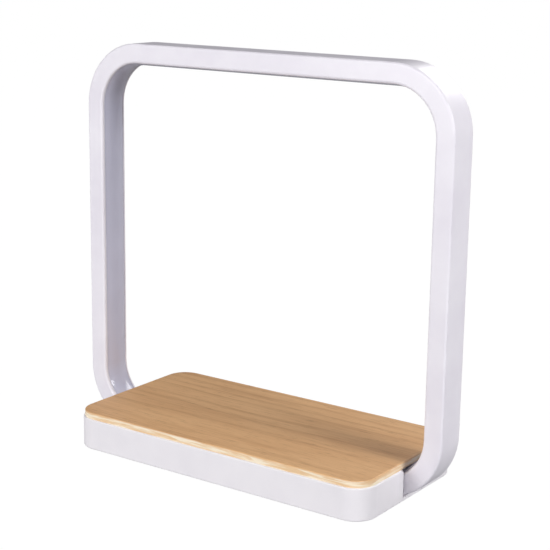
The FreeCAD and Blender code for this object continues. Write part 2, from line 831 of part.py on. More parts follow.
def make_base_shell():
    """The white housing, open below, with its deck, posts, ribs, slots and socket hole."""
    body = new_body("base_shell")
    outline = new_sketch(body, "outline", offset=dim("rim_height"))
    add_block_outline(outline)
    add_material(outline, dim("shell_top") - dim("rim_height"))
    add_flares(body)
    cut_slots(body)
    top, rim = dim("shell_top").value, dim("rim_height").value

    def is_rim(edge):
        return lies_at(edge, 2, top) or lies_at(edge, 2, rim)

    round_edges(body, "top_and_rim_round", dim("shell_rim_round"), is_rim)
    cavity = new_sketch(body, "cavity", offset=dim("rim_height"))
    add_block_outline(cavity, dim("shell_wall"))
    remove_material(cavity, deck_underside - dim("rim_height"), upward=True)
    seat = new_sketch(body, "adhesive_seat", offset=dim("shell_top"))
    add_block_outline(seat, dim("adhesive_inset"))
    remove_material(seat, dim("adhesive_thickness"))
    large = dim("large_shank_radius"), dim("large_pilot_depth")
    on_board = dim("small_shank_radius"), dim("board_pilot_depth")
    on_carrier = dim("small_shank_radius"), dim("carrier_pilot_depth")
    posts = (
        ("cover_posts", COVER_SCREWS, dim("shell_boss_radius"), cover_boss_top, large),
        ("loop_posts", LOOP_SCREWS, dim("loop_post_radius"), channel_floor_top, large),
        ("board_posts", BOARD_SCREWS, dim("board_post_radius"), board_top, on_board),
        ("carrier_posts", CARRIER_SCREWS, dim("carrier_boss_radius"), carrier_top, on_carrier),
    )
    for name, places, radius, bottom, (pilot_radius, depth) in posts:
        add_posts(body, name, places, radius, bottom)
        drill_posts(body, f"{name}_pilot", places, pilot_radius, bottom, depth)
    add_ribs(body)
    add_lintels(body)
    cut_socket_hole(body)
    return keep(body)


def make_wood_top_plate():
    """The wooden charging plate, with its upper edge eased."""
    body = new_body("wood_top_plate")
    outline = new_sketch(body, "outline", offset=dim("shell_top"))
    add_block_outline(outline, dim("plate_inset"))
    add_material(outline, dim("plate_thickness"))
    round_edges(body, "top_round", dim("plate_round"), lambda e: lies_at(e, 2, plate_top.value))
    return keep(body)


def make_top_adhesive():
    """The adhesive sheet in the deck's shallow seat, under the wooden plate."""
    body = new_body("top_adhesive")
    outline = new_sketch(body, "outline", offset=dim("shell_top") - dim("adhesive_thickness"))
    add_block_outline(outline, dim("adhesive_inset"))
    add_material(outline, dim("adhesive_thickness"))
    return keep(body)


def add_foot_outlines(sketch):
    """Add the foot ring's outer and inner outlines."""
    outer = dim("shell_wall") + dim("cover_clearance") + dim("foot_inset")
    add_block_outline(sketch, outer)
    add_block_outline(sketch, outer + dim("foot_width"))


def make_bottom_cover():
    """The grey plate inside the shell's rim, with screw recesses, a foot groove and vents."""
    body = new_body("bottom_cover")
    outline = new_sketch(body, "outline", offset=dim("cover_bottom"))
    add_block_outline(outline, dim("shell_wall") + dim("cover_clearance"))
    add_material(outline, dim("cover_thickness"))
    bosses = new_sketch(body, "bosses", offset=cover_top)
    holes = new_sketch(body, "screw_holes", offset=dim("cover_bottom"))
    recesses = new_sketch(body, "head_recesses", offset=dim("cover_bottom"))
    for x, y in COVER_SCREWS:
        add_circle(bosses, x, y, dim("cover_boss_radius"))
        add_circle(holes, x, y, dim("large_hole_radius"))
        add_circle(recesses, x, y, dim("cover_screw_recess"))
    add_material(bosses, dim("cover_boss_height"))
    remove_material(holes, cover_boss_top - dim("cover_bottom"), upward=True)
    remove_material(recesses, dim("large_head_height") + dim("cover_screw_play"), upward=True)
    groove = new_sketch(body, "foot_groove", offset=dim("cover_bottom"))
    add_foot_outlines(groove)
    remove_material(groove, dim("foot_groove"), upward=True)
    vents = new_sketch(body, "vents", offset=dim("cover_bottom"))
    half_vent = dim("vent_width") / 2
    for number in range(-4, 5):
        x = dim("vent_pitch") * number
        ends = -dim("vent_length") / 2, dim("vent_length") / 2
        add_rounded_rectangle(vents, x - half_vent, x + half_vent, *ends, half_vent - 0.1)
    remove_material(vents, dim("cover_thickness"), upward=True)
    return keep(body)


def make_foot_ring():
    """The rubber ring, set in the cover's groove, that the lamp stands on."""
    body = new_body("foot_ring")
    outline = new_sketch(body, "outline")
    add_foot_outlines(outline)
    add_material(outline, dim("foot_thickness"))
    round_edges(body, "floor_round", dim("foot_round"), lambda e: lies_at(e, 2, 0))
    return keep(body)


def make_cover_screws():
    head_bottom = dim("cover_bottom") + dim("cover_screw_play")
    head = dim("large_head_radius"), dim("large_head_height")
    shank = dim("large_shank_radius"), cover_boss_top + dim("cover_screw_grip")
    return make_screws("cover_screws", COVER_SCREWS, head_bottom, head, *shank)


def make_ballast():
    """The steel weights that lie on the cover, one in front and two behind."""
    depth = dim("front_ballast_rear") - dim("front_ballast_front")
    size = dim("front_ballast_length"), depth, dim("ballast_thickness")
    corner = -dim("front_ballast_length") / 2, dim("front_ballast_front"), cover_top
    keep(make_box("ballast_plate_front", size, corner))
    length = dim("rear_ballast_far") - dim("rear_ballast_near")
    size = length, dim("rear_ballast_rear") - dim("rear_ballast_front"), dim("ballast_thickness")
    left_corner = -dim("rear_ballast_far"), dim("rear_ballast_front"), cover_top
    right_corner = dim("rear_ballast_near"), dim("rear_ballast_front"), cover_top
    keep(make_box("ballast_plate_rear_left", size, left_corner))
    keep(make_box("ballast_plate_rear_right", size, right_corner))


# ---- The charging coil ----


def make_charging_coil():
    """The flat winding, against the deck."""
    height, base = dim("coil_thickness"), (0, 0, coil_bottom)
    outside = make_cylinder("coil_outside", dim("coil_outer_radius"), height, base)
    inside = make_cylinder("coil_inside", dim("coil_inner_radius"), height, base)
    return keep(make_cut("charging_coil", outside, inside))


def make_ferrite_sheet():
    """The ferrite disc that keeps the field above the coil."""
    height, base = dim("ferrite_thickness"), (0, 0, carrier_top)
    return keep(make_cylinder("ferrite_sheet", dim("ferrite_radius"), height, base))


def make_coil_carrier():
    """The tray that holds coil and ferrite against the deck, with a gap in its rim for the leads."""
    body = new_body("coil_carrier")
    plate = new_sketch(body, "plate", offset=carrier_bottom)
    half = dim("carrier_width") / 2
    add_rounded_rectangle(plate, -half, half, -half, half, dim("carrier_radius"))
    add_material(plate, dim("carrier_thickness"))
    rim = new_sketch(body, "rim", offset=carrier_top)
    add_circle(rim, ZERO, ZERO, dim("carrier_rim_outer"))
    add_circle(rim, ZERO, ZERO, dim("carrier_rim_inner"))
    add_material(rim, deck_underside - carrier_top)
    gap = new_sketch(body, "lead_gap", offset=carrier_top)
    half_gap = dim("carrier_lead_gap") / 2
    add_rectangle(gap, -half_gap, half_gap, dim("carrier_rim_inner") - 2, dim("carrier_rim_outer") + 1)
    remove_material(gap, deck_underside - carrier_top, upward=True)
    holes = new_sketch(body, "screw_holes", offset=carrier_bottom)
    for x, y in CARRIER_SCREWS:
        add_circle(holes, x, y, dim("small_hole_radius"))
    remove_material(holes, dim("carrier_thickness"), upward=True)
    return keep(body)


def make_carrier_screws():
    head = dim("small_head_radius"), dim("small_head_height")
    head_bottom = carrier_bottom - dim("small_head_height")
    shank = dim("small_shank_radius"), carrier_top + dim("carrier_screw_grip")
    return make_screws("carrier_screws", CARRIER_SCREWS, head_bottom, head, *shank)


# ---- The electronics ----


def make_main_board():
    """The circuit board that runs the charger and the light."""
    body = new_body("main_board")
    outline = new_sketch(body, "outline", offset=dim("board_bottom"))
    half = dim("board_length") / 2
    add_rounded_rectangle(outline, -half, half, dim("board_front"), dim("board_rear"), dim("board_radius"))
    add_material(outline, dim("board_thickness"))
    holes = new_sketch(body, "screw_holes", offset=dim("board_bottom"))
    for x, y in BOARD_SCREWS:
        add_circle(holes, x, y, dim("small_hole_radius"))
    remove_material(holes, dim("board_thickness"), upward=True)
    return keep(body)


def make_board_screws():
    head = dim("small_head_radius"), dim("small_head_height")
    head_bottom = dim("board_bottom") - dim("small_head_height")
    shank = dim("small_shank_radius"), board_top + dim("board_screw_grip")
    return make_screws("board_screws", BOARD_SCREWS, head_bottom, head, *shank)


def make_board_components():
    """The larger components on the board's upper side, in the order charger, light, power."""
    chip_size = dim("charger_chip_width"), dim("charger_chip_width"), dim("charger_chip_height")
    chip_place = dim("charger_chip_x"), dim("chip_y"), board_top
    keep(make_centred_box("charger_chip", chip_size, *chip_place))
    driver_size = dim("driver_chip_width"), dim("driver_chip_length"), dim("driver_chip_height")
    driver_place = dim("driver_chip_x"), dim("chip_y"), board_top
    keep(make_centred_box("light_driver_chip", driver_size, *driver_place))
    inductor_size = dim("inductor_width"), dim("inductor_width"), dim("inductor_height")
    capacitor_size = dim("capacitor_length"), dim("capacitor_width"), dim("capacitor_height")
    rows = (
        ("power_inductors", "inductor", inductor_size, 2),
        ("resonant_capacitors", "capacitor", capacitor_size, 3),
    )
    for group, kind, size, count in rows:
        pieces = []
        for number in range(count):
            x = dim(f"{kind}_x") + dim(f"{kind}_pitch") * number
            pieces.append(make_centred_box(f"{kind}_{number}", size, x, dim(f"{kind}_y"), board_top))
        keep(make_group(group, pieces))
    bulk_place = dim("bulk_x"), dim("bulk_y"), board_top
    keep(make_cylinder("bulk_capacitor", dim("bulk_radius"), dim("bulk_height"), bulk_place))


def make_power_socket():
    """The reversible 5-volt power socket at the middle of the rear wall: steel shell and tongue."""
    half_width, half_height = dim("socket_width") / 2, dim("socket_height") / 2
    mouth = half_depth - dim("socket_recess")
    body = new_body("socket_shell")
    outline = new_sketch(body, "outline", "XZ_Plane", offset=-mouth)
    low, high = socket_middle - half_height, socket_middle + half_height
    corner_radius = half_height - dim("socket_flat")
    add_rounded_rectangle(outline, -half_width, half_width, low, high, corner_radius)
    add_material(outline, dim("socket_length"))
    cavity = new_sketch(body, "cavity", "XZ_Plane", offset=-mouth)
    skin = dim("socket_skin")
    sides = skin - half_width, half_width - skin, low + skin, high - skin
    add_rounded_rectangle(cavity, *sides, corner_radius - skin)
    remove_material(cavity, dim("socket_length") - skin * 2, upward=True)
    keep(body)
    length = dim("tongue_length")
    root = mouth - dim("socket_length") + skin * 2
    size = dim("tongue_width"), length, dim("tongue_height")
    bottom = socket_middle - dim("tongue_height") / 2
    return keep(make_centred_box("socket_tongue", size, 0, root + length / 2, bottom))


def make_touch_electrode():
    """The copper pad behind the front of the deck that senses a finger."""
    depth = dim("electrode_rear") - dim("electrode_front")
    size = dim("electrode_length"), depth, dim("electrode_thickness")
    corner = -dim("electrode_length") / 2, dim("electrode_front"), deck_underside - dim("electrode_thickness")
    return keep(make_box("touch_electrode", size, corner))


def make_leads():
    """The leads between the board, the coil, the strip and the touch pad."""
    radius = dim("lead_radius").value
    on_board = board_top.value + radius
    in_channel = channel_floor_top.value + strip_top.value / 2 - radius / 4
    below_pad = deck_underside.value - dim("electrode_thickness").value - radius
    coil_level = coil_bottom.value + dim("coil_thickness").value / 2
    coil_edge = dim("coil_outer_radius").value
    coil_pad = coil_edge + dim("coil_lead_reach").value
    coil_leads = []
    for side in (-1, 1):
        x = side * dim("coil_lead_spacing").value / 2
        route = [(x, coil_edge, coil_level), (x, coil_pad, coil_level), (x, coil_pad, board_top.value)]
        coil_leads.append(make_lead(route, radius))
    keep_shape("coil_leads", Part.makeCompound(coil_leads))
    channel_end = dim("channel_end").value
    strip_leads = []
    for number in range(2):
        shift = dim("lead_spacing").value * number
        channel_y = dim("strip_lead_y").value + shift
        route = [
            (dim("strip_end").value, channel_y, in_channel),
            (channel_end - dim("strip_lead_rise").value + shift, channel_y, in_channel),
            (channel_end - dim("strip_lead_fall").value + shift, dim("strip_lead_bend_y").value + shift, on_board),
            (dim("strip_pad_x").value, dim("strip_pad_y").value + shift, on_board),
        ]
        strip_leads.append(make_lead(route, radius))
    keep_shape("strip_leads", Part.makeCompound(strip_leads))
    pad_y = (dim("electrode_front").value + dim("electrode_rear").value) / 2
    lead_x = dim("touch_lead_x").value
    drop_y = pad_y + dim("touch_lead_drop").value
    touch_route = [
        (dim("touch_lead_start").value, pad_y, below_pad),
        (lead_x, pad_y, below_pad),
        (lead_x, drop_y - radius / 2, below_pad - 2.5 * radius),
        (lead_x, drop_y, on_board + 1),
        (lead_x, dim("touch_lead_floor_y").value, on_board),
        (lead_x, dim("touch_pad_y").value, on_board),
    ]
    return keep_shape("touch_lead", make_lead(touch_route, radius))


def main():
    make_base_shell()
    make_wood_top_plate()
    make_top_adhesive()
    make_bottom_cover()
    make_foot_ring()
    make_cover_screws()
    make_ballast()
    make_loop_frame()
    make_loop_diffuser()
    make_led_strip()
    make_led_chips()
    make_channel_end_caps()
    make_loop_screws()
    make_charging_coil()
    make_ferrite_sheet()
    make_coil_carrier()
    make_carrier_screws()
    make_main_board()
    make_board_screws()
    make_board_components()
    make_power_socket()
    make_touch_electrode()
    make_leads()
    document.recompute()
    for piece in document.Objects:
        if "Invalid" in piece.State or "Error" in piece.State:
            raise RuntimeError(f"{piece.Name} failed: {piece.State}")
    for piece in sub_parts:
        if piece.Shape.isNull() or not piece.Shape.isValid():
            raise RuntimeError(f"{piece.Label} has no valid shape")
    os.makedirs("parts", exist_ok=True)
    for piece in sub_parts:
        piece.Shape.exportStep(f"parts/{piece.Label}.step")
    print(f"{len(sub_parts)} sub-parts written")


main()
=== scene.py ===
import math

import bmesh
import bpy
from mathutils import Matrix, Vector


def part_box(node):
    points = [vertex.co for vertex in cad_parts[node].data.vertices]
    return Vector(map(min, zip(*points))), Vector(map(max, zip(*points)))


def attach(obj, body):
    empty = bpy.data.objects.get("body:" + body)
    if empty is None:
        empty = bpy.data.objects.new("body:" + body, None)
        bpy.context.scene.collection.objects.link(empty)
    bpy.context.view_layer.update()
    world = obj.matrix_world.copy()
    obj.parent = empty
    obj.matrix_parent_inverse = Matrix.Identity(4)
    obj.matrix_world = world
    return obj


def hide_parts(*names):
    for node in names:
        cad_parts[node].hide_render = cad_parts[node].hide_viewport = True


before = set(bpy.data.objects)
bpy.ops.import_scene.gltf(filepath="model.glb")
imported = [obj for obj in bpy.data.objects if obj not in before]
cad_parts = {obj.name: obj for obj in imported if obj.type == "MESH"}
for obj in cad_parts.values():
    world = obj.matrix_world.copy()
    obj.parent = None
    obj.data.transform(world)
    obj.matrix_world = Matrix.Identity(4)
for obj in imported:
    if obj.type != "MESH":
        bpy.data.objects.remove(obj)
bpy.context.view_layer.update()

# A bedside lamp with a wireless charging base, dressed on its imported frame.
# The frame gives every place: X runs along the base, Y from front (-) to rear (+), and Z is up.
# The scene is in metres. A new piece is drawn in millimetres, and a seat takes it to its place.

MM = 0.001
UP = Vector((0, 0, 1))
BOTH_SIDES = (-1, 1)
CORNER_STEPS = 6       # straight pieces in a quarter turn
SMOOTH_ANGLE = 50      # degrees between two faces that still look like one surface


# ---- Colours and materials ----


def srgb(*levels):
    """A linear colour with full alpha, from levels of 0 to 255."""
    shares = [level / 255 for level in levels]
    linear = [s / 12.92 if s <= 0.04045 else ((s + 0.055) / 1.055) ** 2.4 for s in shares]
    return (*linear, 1.0)


class Look:
    """A Principled material together with the nodes that feed it."""

    def __init__(self, name, **plain):
        self.material = bpy.data.materials.new(name)
        self.material.use_nodes = True
        self.tree = self.material.node_tree
        self.shader = self.tree.nodes["Principled BSDF"]
        for socket, value in plain.items():
            self.shader.inputs[socket.replace("_", " ").title()].default_value = value
        self.coordinates = self.tree.nodes.new("ShaderNodeTexCoord")

    def feed(self, socket, value):
        """Set a node's input, or link an output to it."""
        if isinstance(value, bpy.types.NodeSocket):
            self.tree.links.new(value, socket)
        else:
            socket.default_value = value

    def at(self, scale=(1, 1, 1), shift=(0, 0, 0), turn=(0, 0, 0)):
        """Object coordinates for a pattern, stretched, moved and turned (in degrees)."""
        mapping = self.tree.nodes.new("ShaderNodeMapping")
        self.feed(mapping.inputs["Vector"], self.coordinates.outputs["Object"])
        mapping.inputs["Scale"].default_value = scale
        mapping.inputs["Location"].default_value = shift
        mapping.inputs["Rotation"].default_value = [math.radians(angle) for angle in turn]
        return mapping.outputs["Vector"]

    def height(self):
        """The height of each point of the surface, in metres."""
        node = self.tree.nodes.new("ShaderNodeSeparateXYZ")
        self.feed(node.inputs[0], self.coordinates.outputs["Object"])
        return node.outputs["Z"]

    def noise_node(self, where, scale, detail, roughness=0.5):
        node = self.tree.nodes.new("ShaderNodeTexNoise")
        self.feed(node.inputs["Vector"], where)
        node.inputs["Scale"].default_value = scale
        node.inputs["Detail"].default_value = detail
        node.inputs["Roughness"].default_value = roughness
        return node

    def noise(self, where, scale, detail, roughness=0.5):
        """A cloudy pattern about 0.5, with as many clouds to a unit of its coordinates as the scale."""
        return self.noise_node(where, scale, detail, roughness).outputs["Fac"]

    def warp(self, where, amount, scale=1.0, detail=2.0):
        """Push coordinates about by a noise of their own, by up to the amount."""
        push = self.tree.nodes.new("ShaderNodeVectorMath")
        push.operation = "MULTIPLY_ADD"
        self.feed(push.inputs[0], self.noise_node(where, scale, detail).outputs["Color"])
        push.inputs[1].default_value = (amount, amount, amount)
        self.feed(push.inputs[2], where)
        return push.outputs[0]

    def growth_rings(self, where, scale):
        """Rings about the X axis, each with a slow rise and a sharp fall."""
        node = self.tree.nodes.new("ShaderNodeTexWave")
        node.wave_type = "RINGS"
        node.rings_direction = "X"
        node.wave_profile = "SAW"
        self.feed(node.inputs["Vector"], where)
        node.inputs["Scale"].default_value = scale
        return node.outputs["Fac"]

    def spread(self, value, low, high, to_low=0.0, to_high=1.0):
        """Map a value from one range to another, held at its ends."""
        node = self.tree.nodes.new("ShaderNodeMapRange")
        self.feed(node.inputs["Value"], value)
        node.inputs["From Min"].default_value = low
        node.inputs["From Max"].default_value = high
        node.inputs["To Min"].default_value = to_low
        node.inputs["To Max"].default_value = to_high
        return node.outputs["Result"]

    def times(self, first, second):
        node = self.tree.nodes.new("ShaderNodeMath")
        node.operation = "MULTIPLY"
        self.feed(node.inputs[0], first)
        self.feed(node.inputs[1], second)
        return node.outputs[0]

    def blend(self, share, first, second):
        """Mix two colours. A share of 0 gives the first, and 1 the second."""
        node = self.tree.nodes.new("ShaderNodeMix")
        node.data_type = "RGBA"
        colours = [socket for socket in node.inputs if socket.type == "RGBA"]
        self.feed(node.inputs["Factor"], share)
        self.feed(colours[0], first)
        self.feed(colours[1], second)
        return [socket for socket in node.outputs if socket.type == "RGBA"][0]

    def colour(self, value):
        self.feed(self.shader.inputs["Base Color"], value)

    def rough(self, value):
        self.feed(self.shader.inputs["Roughness"], value)

    def bump(self, height, distance, strength=1.0):
        """Add relief, at most the distance deep. A second call is laid over the first."""
        node = self.tree.nodes.new("ShaderNodeBump")
        node.inputs["Distance"].default_value = distance
        node.inputs["Strength"].default_value = strength
        self.feed(node.inputs["Height"], height)
        before = self.shader.inputs["Normal"].links
        if before:
            self.feed(node.inputs["Normal"], before[0].from_socket)
        self.feed(self.shader.inputs["Normal"], node.outputs["Normal"])


def plain_look(name, dark, light, roughness, grain, relief, **plain):
    """A moulded or coated surface: two close tones, slightly uneven gloss, and fine relief.

    grain is the size of the relief's bumps and relief their height, both in metres.
    """
    patches_a_metre, gloss_swing = 45, 0.04
    look = Look(name, **plain)
    tone = look.noise(look.at(), patches_a_metre, 3)
    look.colour(look.blend(look.spread(tone, 0.3, 0.7), dark, light))
    look.rough(look.spread(tone, 0.3, 0.7, roughness - gloss_swing, roughness + gloss_swing))
    look.bump(look.noise(look.at(), 1 / grain, 3), relief)
    return look


def metal_look(name, dark, light, roughness, marks_a_metre, relief=2e-6):
    """A metal surface. Its fine marks are drawn out along the direction that has the fewest."""
    patches_a_metre, gloss_loss, gloss_gain = 120, 0.1, 0.08
    look = Look(name, metallic=1.0)
    marks = look.noise(look.at(scale=marks_a_metre), 1.0, 4)
    tone = look.noise(look.at(), patches_a_metre, 2)
    look.colour(look.blend(look.spread(tone, 0.3, 0.7), dark, light))
    look.rough(look.spread(marks, 0.25, 0.75, roughness - gloss_gain, roughness + gloss_loss))
    look.bump(marks, relief)
    return look


def wood_look(plate_top):
    """Oiled flat-sawn wood with its grain along X, and a paler band around the plate's edge, partly the bare
    edge's own tone and partly a painted highlight on its sides.
    """
    look = Look("oiled_wood", coat_weight=0.04, coat_roughness=0.4)

    # The patterns, all stretched along X, from the broadest to the finest.
    broad = look.noise(look.warp(look.at(scale=(5, 14, 14)), 0.9), 1.0, 3)
    heart = look.at(scale=(0.10, 1, 1), shift=(0.002, 0.031, 0.045), turn=(0, 0, 2.2))
    rings = look.growth_rings(look.warp(heart, 0.010, 55, 1.5), 62)
    flecks = look.noise(look.warp(look.at(scale=(9, 130, 130)), 1.4), 1.0, 2)
    fibres = look.noise(look.at(scale=(28, 900, 900)), 1.0, 4, 0.6)
    pores = look.noise(look.at(scale=(110, 2600, 2600)), 1.0, 1)

    # The top's colour, each pattern laid over the one before.
    tone = look.blend(look.spread(broad, 0.3, 0.7), srgb(210, 158, 106), srgb(232, 184, 130))
    for pattern, low, high, most, colour in (
        (rings, 0.55, 1.0, 0.42, srgb(178, 121, 72)),
        (flecks, 0.54, 0.72, 0.38, srgb(178, 122, 72)),
        (fibres, 0.35, 0.75, 0.45, srgb(248, 206, 154)),
        (pores, 0.62, 0.74, 0.5, srgb(140, 92, 54)),
    ):
        tone = look.blend(look.spread(pattern, low, high, 0.0, most), tone, colour)

    # The paler edge colour, partly the bare edge's tone and partly a painted highlight on the sides, takes
    # over within a millimetre below the top.
    edge_from, edge_full, edge_tone_and_highlight_share = 0.15 * MM, 0.9 * MM, 0.94
    depth = look.spread(look.height(), plate_top - edge_full, plate_top - edge_from, 1.0, 0.0)
    layers = look.noise(look.warp(look.at(scale=(60, 60, 700)), 1.2), 1.0, 3)
    # Edge tones near white: the bare edge's colour brightened by a painted highlight.
    edge = look.blend(look.spread(layers, 0.42, 0.6), srgb(238, 202, 156), srgb(255, 242, 216))
    look.colour(look.blend(look.times(depth, edge_tone_and_highlight_share), tone, edge))

    relief = 0.03 * MM
    look.rough(look.spread(fibres, 0.3, 0.8, 0.52, 0.66))
    look.bump(fibres, relief, 0.6)
    look.bump(look.spread(pores, 0.6, 0.75, 1.0, 0.0), relief, 0.7)
    return look


# A plain look is given as: name, darker tone, lighter tone, roughness, grain, relief.
# A metal look is given as: name, darker tone, lighter tone, roughness, marks a metre along X, Y and Z.
looks = {
    # Outside
    "paint": plain_look(
        "loop_paint", srgb(236, 232, 240), srgb(243, 240, 246), 0.34, 0.9 * MM, 1.5e-6,
        coat_weight=0.15, coat_roughness=0.2),
    "diffuser": plain_look(
        "milky_diffuser", srgb(206, 206, 224), srgb(212, 212, 230), 0.2, 1.2 * MM, 1e-6,
        coat_weight=0.4, coat_roughness=0.08),
    "shell": plain_look("base_plastic", srgb(238, 235, 239), srgb(244, 241, 244), 0.46, 0.35 * MM, 4e-6),
    "wood": wood_look(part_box("wood_top_plate")[1].z),
    "cover": plain_look("cover_plastic", srgb(196, 196, 200), srgb(206, 206, 209), 0.6, 0.3 * MM, 8e-6),
    "rubber": plain_look("foot_rubber", srgb(84, 84, 88), srgb(98, 98, 101), 0.82, 0.25 * MM, 9e-6),
    # Plastics, films and the board inside
    "carrier": plain_look("carrier_plastic", srgb(40, 40, 43), srgb(50, 50, 52), 0.55, 0.3 * MM, 6e-6),
    "cap": plain_look("end_cap_plastic", srgb(206, 206, 210), srgb(216, 216, 219), 0.55, 0.3 * MM, 6e-6),
    "tape": plain_look("adhesive_tape", srgb(222, 221, 214), srgb(234, 233, 228), 0.75, 0.5 * MM, 1.2e-5),
    "strip": plain_look("strip_film", srgb(232, 232, 226), srgb(241, 241, 236), 0.4, 0.6 * MM, 3e-6),
    "sheath_red": plain_look("lead_sheath_red", srgb(150, 30, 28), srgb(172, 40, 34), 0.42, 0.5 * MM, 6e-6),
    "board": plain_look("circuit_board", srgb(18, 92, 50), srgb(24, 110, 60), 0.35, 0.4 * MM, 4e-6),
    # Components
    "chip": plain_look("chip_plastic", srgb(30, 30, 33), srgb(40, 40, 42), 0.5, 0.12 * MM, 5e-6),
    "dot": plain_look("moulded_dot", srgb(58, 58, 60), srgb(70, 70, 72), 0.35, 0.1 * MM, 2e-6),
    "mark": plain_look("polarity_mark", srgb(24, 24, 27), srgb(34, 34, 36), 0.45, 0.1 * MM, 2e-6),
    "ferrite": plain_look("ferrite", srgb(52, 52, 56), srgb(66, 66, 69), 0.6, 0.2 * MM, 7e-6),
    "ceramic": plain_look(
        "capacitor_ceramic", srgb(168, 128, 90), srgb(184, 145, 104), 0.45, 0.2 * MM, 4e-6),
    "led_white": plain_look("led_frame", srgb(232, 232, 226), srgb(242, 242, 237), 0.45, 0.2 * MM, 3e-6),
    "phosphor": plain_look("led_phosphor", srgb(232, 190, 62), srgb(242, 206, 84), 0.3, 0.12 * MM, 3e-6),
    # Metals
    "zinc": metal_look("zinc_plate", srgb(176, 180, 184), srgb(200, 202, 204), 0.34, (60, 900, 900)),
    "screw": metal_look("screw_steel", srgb(150, 151, 155), srgb(176, 177, 180), 0.3, (900, 900, 200)),
    "socket": metal_look("socket_steel", srgb(190, 191, 194), srgb(208, 209, 211), 0.24, (900, 120, 900)),
    "can": metal_look("capacitor_can", srgb(202, 203, 206), srgb(220, 221, 223), 0.28, (900, 900, 150)),
    "copper": metal_look("copper", srgb(196, 116, 76), srgb(218, 140, 96), 0.32, (400, 400, 400)),
    "gold": metal_look("contact_gold", srgb(214, 172, 88), srgb(232, 194, 112), 0.25, (400, 400, 400)),
    "tin": metal_look("tinned_pad", srgb(196, 198, 200), srgb(214, 215, 217), 0.35, (400, 400, 400)),
    "enamel": metal_look(
        "enamelled_wire", srgb(168, 92, 52), srgb(200, 120, 72), 0.34, (2200, 2200, 2200), 1e-5),
}

# The CAD nodes that take each look. A node with a new piece in its place is dressed too, but hidden.
CAD_LOOKS = {
    "paint": ("loop_frame",),
    "diffuser": ("loop_diffuser",),
    "shell": ("base_shell",),
    "wood": ("wood_top_plate",),
    "cover": ("bottom_cover",),
    "rubber": ("foot_ring",),
    "carrier": ("coil_carrier",),
    "cap": ("channel_end_cap_left", "channel_end_cap_right"),
    "tape": ("top_adhesive",),
    "strip": ("led_strip", "led_chips"),
    "sheath_red": ("coil_leads", "strip_leads", "touch_lead"),
    "board": ("main_board",),
    "chip": ("charger_chip", "light_driver_chip", "socket_tongue"),
    "ferrite": ("ferrite_sheet", "power_inductors"),
    "ceramic": ("resonant_capacitors",),
    "zinc": ("ballast_plate_front", "ballast_plate_rear_left", "ballast_plate_rear_right"),
    "screw": ("cover_screws", "loop_screws", "carrier_screws", "board_screws"),
    "socket": ("socket_shell",),
    "can": ("bulk_capacitor",),
    "copper": ("charging_coil", "touch_electrode"),
}
for look_name, node_names in CAD_LOOKS.items():
    for node_name in node_names:
        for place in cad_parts[node_name].material_slots:
            place.material = looks[look_name].material


# ---- Tools for new pieces, which stand in the places of plain CAD solids ----


def wrap(part, rings):
    """Join rings of vertices, each to the next. A ring at a pole is one vertex, repeated."""
    for lower, upper in zip(rings, rings[1:]):
        for step in range(len(lower)):
            after = (step + 1) % len(lower)
            corners = (lower[step], lower[after], upper[after], upper[step])
            part.faces.new(dict.fromkeys(corners))


class Piece:
    """A new mesh piece, put together from closed parts that each have one of its looks."""

    def __init__(self, name, *look_names):
        self.name = name
        self.looks = look_names
        self.shape = bmesh.new()

    def add(self, part, seat, look):
        """Take in a part. With no look named, it has the piece's first."""
        bmesh.ops.recalc_face_normals(part, faces=part.faces[:])
        bmesh.ops.transform(part, matrix=seat, verts=part.verts[:])
        for face in part.faces:
            face.material_index = self.looks.index(look) if look else 0
        scrap = bpy.data.meshes.new("scrap")
        part.to_mesh(scrap)
        part.free()
        self.shape.from_mesh(scrap)
        bpy.data.meshes.remove(scrap)

    def block(self, seat, low, high, edge, look=None, segments=2):
        """Add a box between two corners, with its edges rounded."""
        part = bmesh.new()
        bmesh.ops.create_cube(part, size=1.0)
        low, high = Vector(low), Vector(high)
        for vertex in part.verts:
            vertex.co = (low + high) / 2 + vertex.co * (high - low)
        bmesh.ops.bevel(
            part, geom=part.edges[:], offset=edge, segments=segments, affect="EDGES", profile=0.5)
        self.add(part, seat, look)

    def lathe(self, seat, profile, look=None, steps=40):
        """Add a turned shape. profile lists radius and height, from axis to axis."""
        part = bmesh.new()
        angles = [2 * math.pi * step / steps for step in range(steps)]
        rings = []
        for radius, height in profile:
            if radius == 0:
                ring = [part.verts.new((0, 0, height))] * steps
            else:
                ring = [part.verts.new((radius * math.cos(a), radius * math.sin(a), height)) for a in angles]
            rings.append(ring)
        wrap(part, rings)
        self.add(part, seat, look)

    def skin(self, seat, rings, look=None):
        """Add a shape through rings of points, with a flat face at each end."""
        part = bmesh.new()
        loops = [[part.verts.new(point) for point in ring] for ring in rings]
        wrap(part, loops)
        part.faces.new(loops[0])
        part.faces.new(loops[-1])
        self.add(part, seat, look)

    def wire(self, seat, points, radius, sides=10):
        """Add a round wire along points, in the piece's first look."""
        angles = [2 * math.pi * side / sides for side in range(sides)]
        rings = []
        for number, point in enumerate(points):
            before = points[max(number - 1, 0)]
            after = points[min(number + 1, len(points) - 1)]
            ahead = (after - before).normalized()
            across = ahead.cross(UP).normalized()
            above = across.cross(ahead)
            rings.append([point + (across * math.cos(a) + above * math.sin(a)) * radius for a in angles])
        self.skin(seat, rings)

    def finish(self, node):
        """Make the object, and let it stand for a CAD node."""
        mesh = bpy.data.meshes.new(self.name)
        self.shape.to_mesh(mesh)
        self.shape.free()
        for look in self.looks:
            mesh.materials.append(looks[look].material)
        mesh.shade_smooth()
        mesh.set_sharp_from_angle(angle=math.radians(SMOOTH_ANGLE))
        piece = bpy.data.objects.new(self.name, mesh)
        bpy.context.collection.objects.link(piece)
        normals = piece.modifiers.new("even_normals", "WEIGHTED_NORMAL")
        normals.keep_sharp = True
        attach(piece, "root")
        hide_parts(node)


